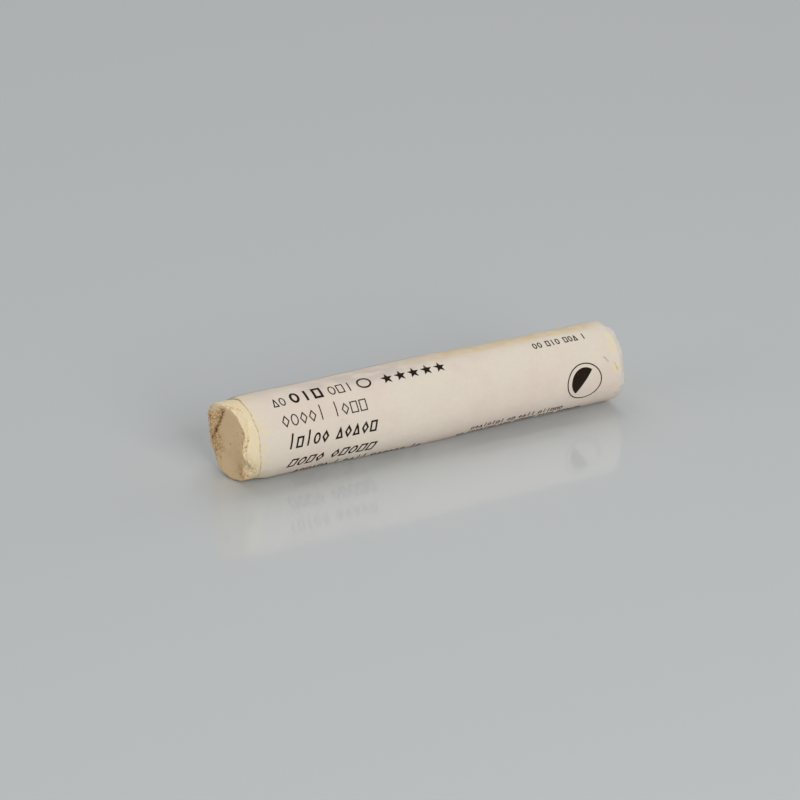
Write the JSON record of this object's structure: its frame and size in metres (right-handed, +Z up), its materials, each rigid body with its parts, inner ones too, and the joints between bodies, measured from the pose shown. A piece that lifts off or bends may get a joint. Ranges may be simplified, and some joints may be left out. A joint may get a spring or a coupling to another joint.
{
  "type": "soft pastel stick",
  "caption": "Used round soft pastel stick in a rolled paper wrapper, lying on its side, with a worn and chipped bare end and a crumpled rim of paper past the square end.",
  "frame": {"origin": "on the surface that the stick lies on, below the middle of its length", "axes": "+X along the stick, from the worn end towards the square end; +Z up"},
  "size_m": [0.0591, 0.0116, 0.0114],
  "materials": {
    "pigment": "dry, chalky and matte",
    "paper": "thin, slightly translucent, matte"
  },
  "bodies": {
    "root": {"pastel_stick": "pigment", "paper_wrapper": "paper"}
  },
  "joints": []
}
